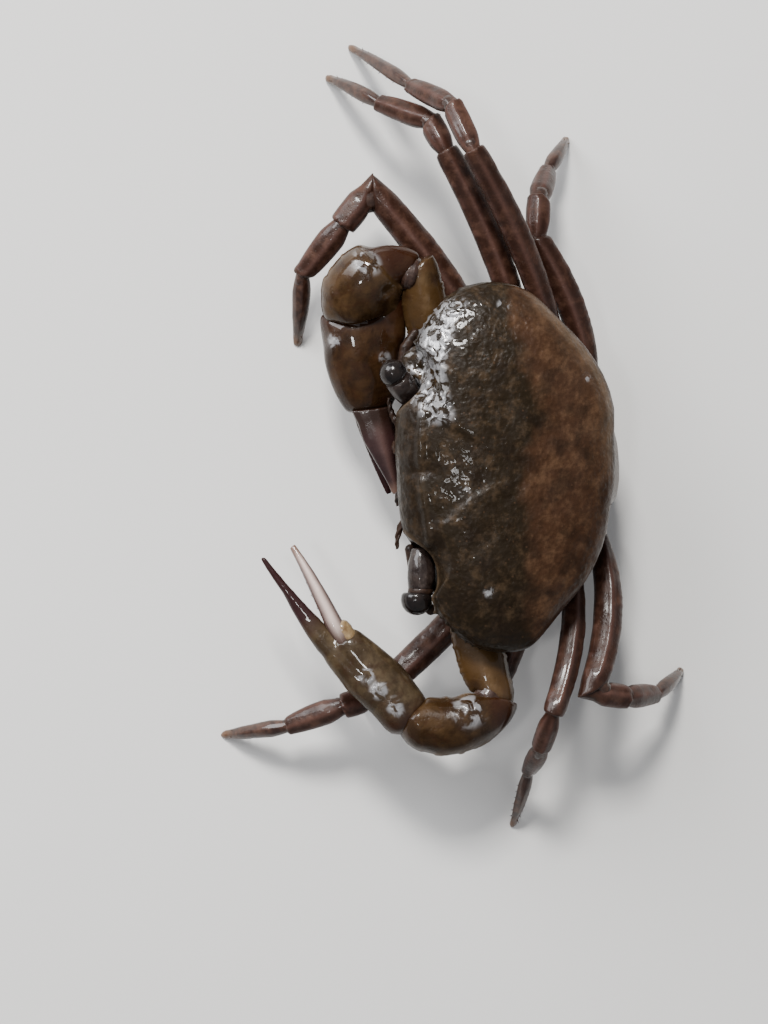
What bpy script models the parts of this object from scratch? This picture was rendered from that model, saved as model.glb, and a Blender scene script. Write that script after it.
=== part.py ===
# A small freshwater crab at life size, standing with its right claw folded across its face.
# +Z is up, the animal faces -Y and its left side is +X. Sizes below are in millimetres;
# each finished mesh is scaled to metres once, in finish().
import math
import random

import bmesh
import bpy
from mathutils import Matrix, Vector

MM = 0.001
GAP = 0.3  # space kept between two parts that meet

# Body heights above the floor
EDGE_Z = 7.5  # carapace margin
TOP_Z = 10.1
LID_Z = 7.0  # underside of the overhanging margin
CORE_Z = 5.9  # underside of the carapace between the legs
CHEST_Z = 2.6  # underside of the breastplate

# Carapace outline, one half from the middle of the front to the middle of the back
CARAPACE_HALF = (
    (0.0, -6.0),
    (1.6, -6.0),
    (3.1, -5.85),
    (3.9, -5.5),
    (4.5, -4.7),
    (5.2, -4.2),
    (6.0, -4.05),
    (6.8, -4.2),
    (7.3, -4.6),
    (8.2, -4.1),
    (9.3, -3.2),
    (10.1, -2.2),
    (10.5, -1.0),
    (10.55, 0.1),
    (10.35, 1.1),
    (9.7, 2.1),
    (8.3, 3.4),
    (6.8, 4.8),
    (5.0, 5.9),
    (3.0, 6.45),
    (0.0, 6.65),
)
REAR_SKEW = 0.35  # the right rear corner of the shell is this much fuller, the left flatter
POINTS_BETWEEN = 2  # outline points made for each listed one
CORE_HALF_WIDTH, CORE_FRONT, CORE_REAR = 4.6, -4.5, 5.3
CORE_ROUNDNESS = 4.0
DOME_STEPS = (0.985, 0.955, 0.9, 0.82, 0.7, 0.55, 0.38, 0.2)
DOME_POWER = 2.4
NOTCH_CHORD = (-5.85, 0.3)  # line across the eye notch: its inner end and its slope
SOCKET_LIP = -5.4  # how far forward the lower rim of the eye sockets reaches
DENTICLES = 11  # along each front side margin
DENTICLE_SIZE = 0.24
CHEEK_RINGS = (
    # height, inner and outer side, front, back
    (3.5, 3.05, 3.8, -4.6, -4.1),
    (3.75, 3.0, 4.0, -4.7, -4.05),
    (4.7, 3.0, 4.4, -4.75, -4.05),
    (5.6, 2.95, 5.0, -5.05, -4.2),
    (6.3, 2.9, 5.3, -5.35, -4.4),
)

# Breastplate with the leg sockets
CHEST_HALF_WIDTH, CHEST_FRONT, CHEST_REAR = 4.1, -3.6, 5.6
SOCKET_INSET = 2.8
SOCKET_LEAN = {1: 0.0, 2: 0.2, 3: 0.5, 4: 0.9, 5: 1.7}  # how far each leg base leans rearward

# Root of each limb on the left side: side, rearward, height
LIMB_ROOTS = {
    1: (4.3, -2.6, 4.5),
    2: (5.6, 0.5, 2.9),
    3: (5.9, 2.4, 3.9),
    4: (5.6, 4.3, 4.3),
    5: (4.4, 6.1, 3.9),
}
SOCKET_RADIUS = {1: 0.95, 2: 0.8, 3: 0.74, 4: 0.68, 5: 0.7}

# Walking legs: (length, heading, climb) of merus, carpus and propodus, then the dactyl's
# length over the floor and its heading, and how far the merus bows rearward.
# Heading 0 is to the animal's left, 90 is rearward.
WALKING_LEGS = {
    "right_2": ((12.6, -148, 4), (2.6, -44, 0), (3.6, -40, -18), (3.7, -4), 1.6),
    "right_3": ((13.4, -160, 12), (2.0, -158, -21), (3.8, -121, -37), (3.1, -131), 1.3),
    "right_4": ((14.2, -157, 19.5), (2.9, -161, -20), (4.1, -134, -51), (4.0, -139), 1.2),
    "right_5": ((9.3, -161.5, 10), (2.4, 172, -14), (3.3, 150, -46), (2.6, 140), 1.15),
    "left_2": ((11.1, -49, 4), (1.8, -78, 9), (3.4, -72, -21), (3.4, -82), 0.9),
    "left_3": ((9.1, -25, -1), (2.3, -58, -10), (2.7, -110, -24), (3.9, -132), 0.6),
    "left_4": ((9.4, -14, 19), (2.6, -14, -37), (3.3, -10, -60), (3.3, -10), 1.2),
    "left_5": ((9.2, -9, 18), (2.4, 75, -24), (3.4, 88, -46), (2.5, 114), 1.5),
}
# Half widths of a walking leg's parts at the near end, the middle and the far end
LEG_WIDTHS = {
    "merus": (0.7, 1.0, 0.8),
    "carpus": (0.74, 0.86, 0.8),
    "propodus": (0.76, 0.8, 0.58),
    "dactyl": (0.54, 0.46, 0.2),
}
LEG_SCALE = {
    "right_2": 1.04,
    "right_3": 0.9,
    "right_4": 0.84,
    "right_5": 0.9,
    "left_2": 0.96,
    "left_3": 0.88,
    "left_4": 0.78,
    "left_5": 0.92,
}
LEG_DEPTH = 0.86  # depth of a leg over its width
DACTYL_BOW = 0.35
LEG_SIDES = 10
STATIONS = (0.0, 0.12, 0.3, 0.5, 0.7, 0.88, 1.0)  # rings along one part of a limb
PLANE_REACH = 0.45  # part of the length over which the end planes fade out

# Claws: joint places (side, rearward, height)
CLAWS = {
    "right": {
        "merus": (-11.5, -4.1, 5.95),
        "carpus": (-12.2, -7.9, 6.3),
        "wrist": (-9.0, -7.35, 4.7),
        "palm": (-3.75, -6.9, 3.8),
        "palm_sizes": (2.0, 2.3, 1.6),
        "palm_depth": 0.76,
        "carpus_sizes": (1.15, 2.13, 2.0),
        "merus_sizes": (0.95, 1.36, 1.22),
        "fixed_tip": (1.2, -5.8, 2.9),
        "fixed_bow": (-0.3, -0.3, -0.2),
        "moving_tip": (1.0, -5.6, 3.75),
        "moving_bow": (-0.3, -0.1, 0.6),
        "finger_sizes": (1.35, 0.85, 0.26),
        "finger_depth": 0.45,
        "finger_spread": (0.06, 0.12, 0.97),
        "finger_split": (0.72, 0.8),
        "teeth": (0.26, 7),
    },
    "left": {
        "merus": (13.0, -1.2, 6.1),
        "carpus": (15.6, -3.4, 6.3),
        "wrist": (13.6, -5.9, 6.3),
        "palm": (9.2, -9.35, 6.2),
        "palm_sizes": (1.25, 1.42, 1.05),
        "palm_depth": 0.8,
        "carpus_sizes": (1.3, 1.85, 1.3),
        "merus_sizes": (0.95, 1.45, 1.35),
        "fixed_tip": (4.4, -13.85, 5.3),
        "fixed_bow": (0.15, -0.6, 0.1),
        "moving_tip": (3.95, -11.9, 5.4),
        "moving_bow": (-0.1, 0.1, 0.3),
        "finger_sizes": (0.56, 0.46, 0.2),
        "finger_depth": 1.0,
        "finger_spread": (-0.61, 0.78, 0.1),
        "finger_split": (0.5, 0.74),
        "teeth": (0.16, 8),
    },
}
MERUS_DEPTH, CARPUS_DEPTH = 0.74, 0.88  # depth over width
CLAW_SIDES = 16
ISCHIUM_SHARE = 0.28  # part of the first stretch that is the short near part

# Head
# Eyes: root and end of the stalk, then the centre of the eye. The right one is raised.
EYES = {
    "right": ((-4.25, -5.0, 6.9), (-5.25, -5.7, 7.5), (-5.62, -5.96, 7.72)),
    "left": ((4.4, -4.8, 6.9), (6.65, -4.98, 7.0), (7.19, -5.02, 7.02)),
}
STALK_SIZES = (0.5, 0.68, 0.66)
CORNEA_RADIUS = 0.76
ANTENNA = ((2.75, -6.25, 6.3), (3.3, -6.8, 6.2), (4.4, -6.75, 6.1))
ANTENNA_SIZES = (0.32, 0.27, 0.17)
ANTENNULE = ((1.1, -6.36, 6.15), (1.4, -6.65, 5.7), (1.9, -6.45, 5.5))
ANTENNULE_SIZES = (0.3, 0.27, 0.18)
MOUTH_HALF_WIDTH, MOUTH_TOP, MOUTH_BOTTOM = 2.7, 5.5, 2.9
MOUTH_FRONT, MOUTH_THICKNESS = -4.75, 0.8

# Abdomen, folded under the breastplate: middle line and half width at each ring's edge
ABDOMEN_LINE = (
    (6.15, 6.35, 2.6),
    (6.7, 5.4, 2.6),
    (6.85, 4.1, 2.6),
    (6.55, 2.8, 2.6),
    (5.4, 1.92, 2.7),
    (3.5, 1.8, 2.5),
    (1.6, 1.78, 1.9),
    (-0.4, 1.85, 1.1),
)
ABDOMEN_THICKNESS = 0.55
ABDOMEN_STEP = 0.08

COLOURS = {
    "shell": ((0.075, 0.055, 0.035, 1.0), 0.28),
    "claw": ((0.13, 0.085, 0.04, 1.0), 0.25),
    "finger": ((0.12, 0.075, 0.08, 1.0), 0.25),
    "leg": ((0.085, 0.045, 0.04, 1.0), 0.3),
    "underside": ((0.3, 0.24, 0.17, 1.0), 0.4),
    "stalk": ((0.06, 0.045, 0.03, 1.0), 0.25),
    "eye": ((0.004, 0.004, 0.004, 1.0), 0.05),
}


def clear_scene():
    for item in list(bpy.data.objects):
        bpy.data.objects.remove(item, do_unlink=True)


def material(name):
    found = bpy.data.materials.get(name)
    if found:
        return found
    colour, roughness = COLOURS[name]
    made = bpy.data.materials.new(name)
    made.use_nodes = True
    shader = made.node_tree.nodes["Principled BSDF"]
    shader.inputs["Base Color"].default_value = colour
    shader.inputs["Roughness"].default_value = roughness
    shader.inputs["Metallic"].default_value = 0.0
    return made


def finish(name, bm, finish_name):
    # turns a bmesh in millimetres into a named object in metres
    bmesh.ops.recalc_face_normals(bm, faces=bm.faces)
    bmesh.ops.scale(bm, vec=(MM, MM, MM), verts=bm.verts)
    mesh = bpy.data.meshes.new(name)
    bm.to_mesh(mesh)
    bm.free()
    mesh.shade_smooth()
    mesh.set_sharp_from_angle(angle=math.radians(50))
    made = bpy.data.objects.new(name, mesh)
    made.data.materials.append(material(finish_name))
    bpy.context.collection.objects.link(made)
    return made


def loft(rings):
    # a closed tube through rings of equally many points
    bm = bmesh.new()
    loops = []
    for points in rings:
        verts = [bm.verts.new(point) for point in points]
        pairs = zip(verts, verts[1:] + verts[:1])
        loops.append([bm.edges.new(pair) for pair in pairs])
    for near, far in zip(loops, loops[1:]):
        bmesh.ops.bridge_loops(bm, edges=near + far)
    for end in (loops[0], loops[-1]):
        bmesh.ops.edgeloop_fill(bm, edges=end)
    return bm


def swell(t, sizes):
    # half width at t along a part that is fullest in the middle
    near, middle, far = sizes
    rise = (4 * t * (1 - t)) ** 0.7
    straight = near + (far - near) * t
    return straight + (middle - (near + far) / 2) * rise


def curve_point(line, t):
    near, middle, far = line
    return near * (1 - t) ** 2 + middle * 2 * t * (1 - t) + far * t * t


def curve_slope(line, t):
    near, middle, far = line
    return ((middle - near) * (1 - t) + (far - middle) * t).normalized()


def cross_frame(forward):
    side = forward.cross(Vector((0, 0, 1)))
    if side.length < 0.05:
        side = forward.cross(Vector((0, 1, 0)))
    side.normalize()
    return side, side.cross(forward)


def tube_ring(centre, forward, plane, half_width, half_depth, sides):
    # an elliptical section of a tube, slid along the tube onto a slanted plane
    side, up = cross_frame(forward)
    ring = []
    for number in range(sides):
        angle = 2 * math.pi * (number + 0.5) / sides
        point = side * half_width * math.cos(angle) + up * half_depth * math.sin(angle)
        slide = -point.dot(plane) / forward.dot(plane)
        ring.append(centre + point + forward * slide)
    return ring


def joint_plane(before, after):
    # the plane that halves the bend between two parts
    return (before + after).normalized()


def segment_rings(line, planes, sizes, depth, sides, gaps=(GAP / 2, GAP / 2)):
    # rings of one limb part, its ends cut to the planes that it shares with its neighbours
    rings = []
    for t in STATIONS:
        near = max(0.0, 1 - t / PLANE_REACH)
        far = max(0.0, 1 - (1 - t) / PLANE_REACH)
        forward = curve_slope(line, t)
        plane = (planes[0] * near + planes[1] * far + forward * (1 - near - far)).normalized()
        centre = curve_point(line, t)
        centre = centre + planes[0] * gaps[0] * (1 - t) - planes[1] * gaps[1] * t
        half = swell(t, sizes)
        rings.append(tube_ring(centre, forward, plane, half, half * depth, sides))
    return rings


def direction(heading, climb):
    flat = math.cos(math.radians(climb))
    turn = math.radians(heading)
    return Vector((flat * math.cos(turn), flat * math.sin(turn), math.sin(math.radians(climb))))


def straight(near, far, bow=Vector((0, 0, 0))):
    return (near, (near + far) / 2 + bow, far)


def limb_root(side, number):
    x, y, z = LIMB_ROOTS[number]
    return Vector((x * side, y, z))


def walking_leg(label):
    side = -1 if label.startswith("right") else 1
    parts = WALKING_LEGS[label]
    joints = [limb_root(side, int(label[-1]))]
    for length, heading, climb in parts[:3]:
        joints.append(joints[-1] + direction(heading, climb) * length)
    reach, heading = parts[3]
    tip = joints[-1] + direction(heading, 0) * reach
    tip.z = 0
    joints.append(tip)
    lines = [straight(near, far) for near, far in zip(joints, joints[1:])]
    lines[0] = straight(joints[0], joints[1], Vector((0, parts[4], 0)))
    bow = direction(heading, 0) * DACTYL_BOW
    lines[3] = straight(joints[3], joints[4], bow + Vector((0, 0, DACTYL_BOW)))
    slopes = [(curve_slope(line, 0), curve_slope(line, 1)) for line in lines]
    planes = [slopes[0][0]]
    for before, after in zip(slopes, slopes[1:]):
        planes.append(joint_plane(before[1], after[0]))
    planes.append(Vector((0, 0, -1)))
    for number, part in enumerate(("merus", "carpus", "propodus", "dactyl")):
        ends = (planes[number], planes[number + 1])
        gaps = (GAP if number == 0 else GAP / 2, 0 if part == "dactyl" else GAP / 2)
        widths = [width * LEG_SCALE[label] for width in LEG_WIDTHS[part]]
        rings = segment_rings(lines[number], ends, widths, LEG_DEPTH, LEG_SIDES, gaps)
        finish(f"leg_{label}_{part}", loft(rings), "leg")
    return slopes[0][0]


def horn_rings(line, sizes, sides, depth=1.0, start_plane=None):
    # rings of a tapered, bent finger, feeler or stalk
    rings = []
    for t in (0.0, 0.1, 0.3, 0.5, 0.7, 0.85, 0.95, 1.0):
        forward = curve_slope(line, t)
        plane = start_plane if start_plane and t == 0 else forward
        near, middle, far = sizes
        half = near * (1 - t) ** 2 + middle * 2 * t * (1 - t) + far * t * t
        rings.append(tube_ring(curve_point(line, t), forward, plane, half, half * depth, sides))
    return rings


def ball(centre, radius, steps=(12, 8), stretch=(1, 1, 1)):
    bm = bmesh.new()
    bmesh.ops.create_uvsphere(bm, u_segments=steps[0], v_segments=steps[1], radius=radius)
    bmesh.ops.scale(bm, vec=stretch, verts=bm.verts)
    bmesh.ops.translate(bm, vec=centre, verts=bm.verts)
    return bm


def knob(centre, outward, radius, length, sides=5):
    # a blunt tooth whose root is sunk in the surface it stands on
    bm = bmesh.new()
    bmesh.ops.create_cone(
        bm, cap_ends=True, segments=sides, radius1=radius, radius2=radius * 0.35, depth=length
    )
    turn = Vector((0, 0, 1)).rotation_difference(outward).to_matrix().to_4x4()
    bmesh.ops.transform(bm, matrix=Matrix.Translation(centre) @ turn, verts=bm.verts)
    return bm


def closed_volume(faces):
    total = 0.0
    for face in faces:
        first = face.verts[0].co
        for before, after in zip(face.verts[1:], face.verts[2:]):
            total += first.dot(before.co.cross(after.co)) / 6
    return abs(total)


def triangulate(mesh):
    bm = bmesh.new()
    bm.from_mesh(mesh)
    bmesh.ops.triangulate(bm, faces=bm.faces)
    bm.to_mesh(mesh)
    bm.free()


def keep_largest(mesh):
    # drops every closed surface but the largest
    bm = bmesh.new()
    bm.from_mesh(mesh)
    waiting = set(bm.faces)
    groups = []
    while waiting:
        group = {waiting.pop()}
        edge = list(group)
        while edge:
            face = edge.pop()
            near = {other for line in face.edges for other in line.link_faces} & waiting
            waiting -= near
            group |= near
            edge.extend(near)
        groups.append(group)
    groups.sort(key=closed_volume)
    for group in groups[:-1]:
        bmesh.ops.delete(bm, geom=list(group), context="FACES")
    bmesh.ops.triangulate(bm, faces=bm.faces)
    bm.to_mesh(mesh)
    bm.free()


def combine(body, extras, operation="UNION"):
    # one Boolean over a collection, applied, with its objects removed afterwards
    triangulate(body.data)
    group = bpy.data.collections.new("pieces")
    bpy.context.scene.collection.children.link(group)
    for extra in extras:
        bpy.context.collection.objects.unlink(extra)
        group.objects.link(extra)
    join = body.modifiers.new("join", "BOOLEAN")
    join.operation = operation
    join.operand_type = "COLLECTION"
    join.collection = group
    join.solver = "EXACT"
    shape = body.evaluated_get(bpy.context.evaluated_depsgraph_get())
    mesh = bpy.data.meshes.new_from_object(shape)
    body.modifiers.clear()
    body.data = mesh
    for extra in extras:
        bpy.data.objects.remove(extra, do_unlink=True)
    bpy.data.collections.remove(group)
    keep_largest(mesh)
    mesh.shade_smooth()
    mesh.set_sharp_from_angle(angle=math.radians(50))


def smooth_line(points, between):
    # Catmull-Rom points through a list of places
    line = []
    last = len(points) - 1
    for number in range(last):
        p0, p1 = Vector(points[max(number - 1, 0)]), Vector(points[number])
        p2, p3 = Vector(points[number + 1]), Vector(points[min(number + 2, last)])
        for step in range(between):
            t = step / between
            line.append(
                0.5
                * (
                    2 * p1
                    + (p2 - p0) * t
                    + (2 * p0 - 5 * p1 + 4 * p2 - p3) * t * t
                    + (3 * p1 - p0 - 3 * p2 + p3) * t * t * t
                )
            )
    line.append(Vector(points[last]))
    return line


def carapace_outline():
    half = smooth_line(CARAPACE_HALF, POINTS_BETWEEN)
    other = [Vector((-point.x, point.y)) for point in half[1:-1]]
    outline = half + other[::-1]
    for point in outline:
        corner = rise(0.3, 2.5, point.y) * rise(0.5, 3.5, abs(point.x))
        point.y -= math.copysign(REAR_SKEW, point.x) * corner
    return outline


def rise(low, high, value):
    t = min(max((value - low) / (high - low), 0.0), 1.0)
    return t * t * (3 - 2 * t)


def core_point(point):
    # the place on the rounded box between the leg roots that a margin point runs down to
    middle = (CORE_FRONT + CORE_REAR) / 2
    half_length = (CORE_REAR - CORE_FRONT) / 2
    u, v = point.x / CORE_HALF_WIDTH, (point.y - middle) / half_length
    power = CORE_ROUNDNESS
    scale = (abs(u) ** power + abs(v) ** power) ** (1 / power)
    return Vector((point.x / scale, middle + (point.y - middle) / scale))


def front_share(point):
    return rise(-2.6, -3.8, point.y) * rise(8.6, 7.2, abs(point.x))


def lower_rim(point, front):
    # below the eyes the wall comes forward again to carry them
    wide = rise(3.3, 4.2, abs(point.x)) * rise(7.5, 6.7, abs(point.x)) * front
    forward = min(point.y, SOCKET_LIP)
    return Vector((point.x, point.y + (forward - point.y) * wide))


def margin_height(point):
    # the margin dips over the face and at the back
    face = rise(4.6, 3.4, abs(point.x)) * front_share(point)
    back = rise(3.5, 6.5, point.y)
    return EDGE_Z - 0.45 * face - 0.5 * back


def dome_height(x, y, share):
    # smooth crown with a pair of low lobes behind the front and a curved groove behind them
    crown = (TOP_Z - EDGE_Z) * (1 - share**DOME_POWER) ** (1 / DOME_POWER)
    lobes = 0.0
    for side in (-1, 1):
        lobes += 0.14 * math.exp(-(((x - side * 1.5) / 1.1) ** 2) - ((y + 4.7) / 0.75) ** 2)
        arc = math.hypot(x - side * 0.6, (y + 4.2) * 1.15) - 4.4
        inside = rise(-3.8, -2.2, y) * rise(0.6, 1.6, side * x)
        lobes -= 0.05 * math.exp(-((arc / 0.42) ** 2)) * inside
    return crown + lobes


def without_notch(point, share):
    # the eye notch in the margin fades out towards the middle of the dome
    side = abs(point.x)
    between = rise(3.0, 3.8, side) * rise(8.8, 8.0, side) * front_share(point)
    chord = NOTCH_CHORD[0] + (side - CARAPACE_HALF[2][0]) * NOTCH_CHORD[1]
    move = (chord - point.y) * between * rise(0.97, 0.6, share)
    return Vector((point.x, point.y + move))


def carapace():
    outline = carapace_outline()
    middle = Vector((0.0, 0.2))
    rings = []
    for share in reversed(DOME_STEPS):
        ring = []
        for point in outline:
            place = middle + (without_notch(point, share) - middle) * share
            low = EDGE_Z + (margin_height(point) - EDGE_Z) * share
            ring.append((place.x, place.y, low + dome_height(place.x, place.y, share)))
        rings.append(ring)
    rings.append([(p.x, p.y, margin_height(p)) for p in outline])
    rings.append([(p.x * 0.985, p.y * 0.985, margin_height(p) - 0.25) for p in outline])
    for share, drop, front_drop, front_mix in (
        (0.45, LID_Z + 0.08, 6.5, 0.04),
        (0.9, LID_Z - 0.05, 6.1, 0.1),
        (1.0, LID_Z - 0.4, 5.98, 0.7),
        (1.0, CORE_Z, CORE_Z, 1.0),
    ):
        ring = []
        for point in outline:
            front = front_share(point)
            mix = share + (front_mix - share) * front
            core = core_point(without_notch(point, 0.0))
            place = lower_rim(point, front).lerp(core, mix)
            height = drop + (front_drop - drop) * front
            ring.append((place.x, place.y, height))
        rings.append(ring)
    body = finish("carapace", loft(rings), "shell")
    extras = []
    margin = [p for p in outline if abs(p.x) > 7.3 and p.y < -0.6]
    draw = random.Random(7)
    for side in (-1, 1):
        points = sorted((p for p in margin if p.x * side > 0), key=lambda p: p.y)
        for number in range(DENTICLES):
            place = number / DENTICLES * (len(points) - 1)
            low = int(place)
            point = points[low].lerp(points[min(low + 1, len(points) - 1)], place - low)
            outward = Vector((point.x, point.y * 1.6, 0)).normalized()
            size = DENTICLE_SIZE * draw.uniform(0.8, 1.15) * (1 - 0.35 * number / DENTICLES)
            centre = Vector((point.x, point.y, margin_height(point))) - outward * size * 0.3
            extras.append(finish("denticle", knob(centre, outward, size, size * 2.2), "shell"))
    extras += [cheek(side) for side in (-1, 1)]
    combine(body, extras)
    cut_orbits(body)


def cheek(side):
    # the wall beside the mouth, from the lower rim of the eye socket down to the breastplate
    rings = []
    for height, inner, outer, front, back in CHEEK_RINGS:
        bevel = 0.2
        section = (
            (inner, back),
            (outer, back),
            (outer, front + 2 * bevel),
            (outer - 2 * bevel, front + bevel * 0.5),
            (inner + bevel, front),
            (inner, front + bevel),
        )
        rings.append([(x * side, y, height) for x, y in section])
    return finish("cheek", loft(rings), "shell")


def cut_orbits(body):
    # hollows that hold the eyes with a small space round them
    for label in EYES:
        near, far, eye = (Vector(place) for place in EYES[label])
        wide = tuple(size + GAP + 0.02 for size in STALK_SIZES)
        start = near - (far - near).normalized() * 0.35
        cutters = [
            finish("orbit", loft(horn_rings((start, near, eye), wide, 10)), "shell"),
            finish("orbit", ball(eye, CORNEA_RADIUS + GAP + 0.04), "shell"),
        ]
        for cutter in cutters:
            combine(body, [cutter], "DIFFERENCE")


def chest(directions):
    # breastplate with a socket for every limb
    outline = []
    for number in range(28):
        angle = 2 * math.pi * number / 28
        middle, half = (CHEST_FRONT + CHEST_REAR) / 2, (CHEST_REAR - CHEST_FRONT) / 2
        scale = (abs(math.cos(angle)) ** 3.2 + abs(math.sin(angle)) ** 3.2) ** (-1 / 3.2)
        outline.append((CHEST_HALF_WIDTH * scale * math.cos(angle), middle, half * scale * math.sin(angle)))
    rings = []
    for height, share in (
        (CORE_Z - GAP, 0.94),
        (4.9, 1.0),
        (4.0, 1.0),
        (3.2, 0.93),
        (CHEST_Z, 0.72),
    ):
        rings.append([(x * share, y + dy * share, height) for x, y, dy in outline])
    body = finish("thorax", loft(rings), "underside")
    sockets = []
    for (side, number), forward in directions.items():
        root = limb_root(side, number)
        inner = root - Vector((side * SOCKET_INSET, SOCKET_LEAN[number], 0))
        size = SOCKET_RADIUS[number]
        line = (inner, root - forward * 1.3, root)
        rings = horn_rings(line, (size * 1.15, size * 1.1, size * 0.9), 12)
        sockets.append(finish("socket", loft(rings), "underside"))
    combine(body, sockets)


def abdomen():
    # flat tail folded under the body, its rings raised one over the next
    line = [Vector((0, y, z)) for y, z, _ in ABDOMEN_LINE]
    rings = []
    for number, place in enumerate(line):
        before = line[max(number - 1, 0)]
        after = line[min(number + 1, len(line) - 1)]
        forward = (after - before).normalized()
        outward = Vector((0, -forward.z, forward.y)) * -1
        half = ABDOMEN_LINE[number][2]
        steps = (0.0,) if number in (0, len(line) - 1) else (ABDOMEN_STEP, -ABDOMEN_STEP)
        for step in steps:
            centre = place - forward * step
            rings.append(plate_section(centre, outward, half + step, ABDOMEN_THICKNESS / 2 + step * 0.6))
    finish("abdomen", loft(rings), "underside")


def plate_section(centre, outward, half, thick):
    # a thin section across the body, rounded at its sides
    across = Vector((1, 0, 0))
    outer = ((-1, 0), (-0.86, 0.75), (-0.4, 1), (0.4, 1), (0.86, 0.75))
    shape = outer + tuple((-u, -v) for u, v in outer)
    return [centre + across * half * u + outward * thick * v for u, v in shape]


def mouthparts():
    # the pair of plates that close the mouth, with the line of the mouth between them
    for side, label in ((-1, "right"), (1, "left")):
        inner, outer = GAP / 2, MOUTH_HALF_WIDTH
        heights = (MOUTH_BOTTOM, 3.1, 4.2, 4.35, 4.5, 5.25, MOUTH_TOP)
        outers = (0.72, 0.9, 1.0, 0.93, 0.99, 0.93, 0.75)
        depths = (0.75, 0.95, 1.0, 0.8, 0.98, 0.9, 0.7)
        rings = []
        for height, reach, deep in zip(heights, outers, depths):
            far = inner + (outer - inner) * reach
            back = MOUTH_FRONT + MOUTH_THICKNESS
            front = back - MOUTH_THICKNESS * deep
            bevel = 0.18
            section = (
                (inner, back),
                (far, back),
                (far, front + 2 * bevel),
                (far - 2 * bevel, front),
                (inner + bevel, front),
                (inner, front + bevel),
            )
            rings.append([(x * side, y, height) for x, y in section])
        finish(f"maxilliped_{label}", loft(rings), "underside")


def eyes_and_feelers():
    for side, label in ((-1, "right"), (1, "left")):
        near, far, eye = (Vector(place) for place in EYES[label])
        rings = horn_rings(straight(near, far), STALK_SIZES, 12)
        finish(f"eye_stalk_{label}", loft(rings), "stalk")
        cornea(label, far, eye)
        for name, places, sizes in (
            ("antenna", ANTENNA, ANTENNA_SIZES),
            ("antennule", ANTENNULE, ANTENNULE_SIZES),
        ):
            line = tuple(Vector((x * side, y, z)) for x, y, z in places)
            finish(f"{name}_{label}", loft(horn_rings(line, sizes, 8)), "stalk")


def cornea(label, stalk_end, centre):
    # a round eye, cut flat where it meets the end of its stalk
    bm = ball(centre, CORNEA_RADIUS, (16, 12))
    outward = (centre - stalk_end).normalized()
    cut = bmesh.ops.bisect_plane(
        bm,
        geom=bm.verts[:] + bm.edges[:] + bm.faces[:],
        plane_co=stalk_end + outward * GAP,
        plane_no=outward,
        clear_inner=True,
    )
    rim = [item for item in cut["geom_cut"] if isinstance(item, bmesh.types.BMEdge)]
    bmesh.ops.edgeloop_fill(bm, edges=rim)
    finish(f"eye_{label}", bm, "eye")


def claw(label):
    side = -1 if label == "right" else 1
    sizes = CLAWS[label]
    root = limb_root(side, 1)
    elbow, bend, wrist, palm_end = (Vector(sizes[key]) for key in ("merus", "carpus", "wrist", "palm"))
    knee = root.lerp(elbow, ISCHIUM_SHARE)
    lines = {
        "ischium": straight(root, knee),
        "merus": straight(knee, elbow),
        "carpus": (elbow, bend, wrist),
        "palm": straight(wrist, palm_end),
    }
    names = list(lines)
    near_half, belly, far_half = sizes["merus_sizes"]
    widths = {
        "ischium": (near_half * 0.95, near_half * 1.05, near_half),
        "merus": (near_half, belly, far_half * 0.9),
        "carpus": sizes["carpus_sizes"],
        "palm": sizes["palm_sizes"],
    }
    depths = {
        "ischium": MERUS_DEPTH,
        "merus": MERUS_DEPTH,
        "carpus": CARPUS_DEPTH,
        "palm": sizes["palm_depth"],
    }
    planes = [curve_slope(lines["ischium"], 0)]
    for before, after in zip(names, names[1:]):
        planes.append(joint_plane(curve_slope(lines[before], 1), curve_slope(lines[after], 0)))
    planes.append(curve_slope(lines["palm"], 1))
    for number, part in enumerate(names):
        gaps = (GAP if number == 0 else GAP / 2, 0 if part == "palm" else GAP / 2)
        ends = (planes[number], planes[number + 1])
        rings = segment_rings(lines[part], ends, widths[part], depths[part], CLAW_SIDES, gaps)
        made = finish(f"claw_{label}_{part}", loft(rings), "claw")
    fingers(label, made, wrist, palm_end)
    return planes[0]


def fingers(label, palm, wrist, palm_end):
    # the fixed finger is one with the palm; the moving finger meets the palm's end face
    sizes = CLAWS[label]
    forward = (palm_end - wrist).normalized()
    spread = Vector(sizes["finger_spread"])
    spread = (spread - forward * spread.dot(forward)).normalized()
    low, high = sizes["finger_split"]
    depth = sizes["finger_depth"]
    fixed = finger_line(palm_end - forward * 1.1 - spread * low, sizes["fixed_tip"], sizes["fixed_bow"])
    moving = finger_line(palm_end + forward * GAP + spread * high, sizes["moving_tip"], sizes["moving_bow"])
    extras = [finish("finger", loft(horn_rings(fixed, sizes["finger_sizes"], 12, depth)), "finger")]
    size, count = sizes["teeth"]
    thin = [width * (depth if abs(spread.z) > 0.7 else 1) for width in sizes["finger_sizes"]]
    extras += finger_teeth(fixed, spread, thin, size, count)
    combine(palm, extras)
    rings = horn_rings(moving, sizes["finger_sizes"], 12, depth, start_plane=forward)
    body = finish(f"claw_{label}_dactyl", loft(rings), "finger")
    combine(body, finger_teeth(moving, -spread, thin, size * 0.8, count))


def finger_line(root, tip, bow):
    tip = Vector(tip)
    return straight(root, tip, Vector(bow))


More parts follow.
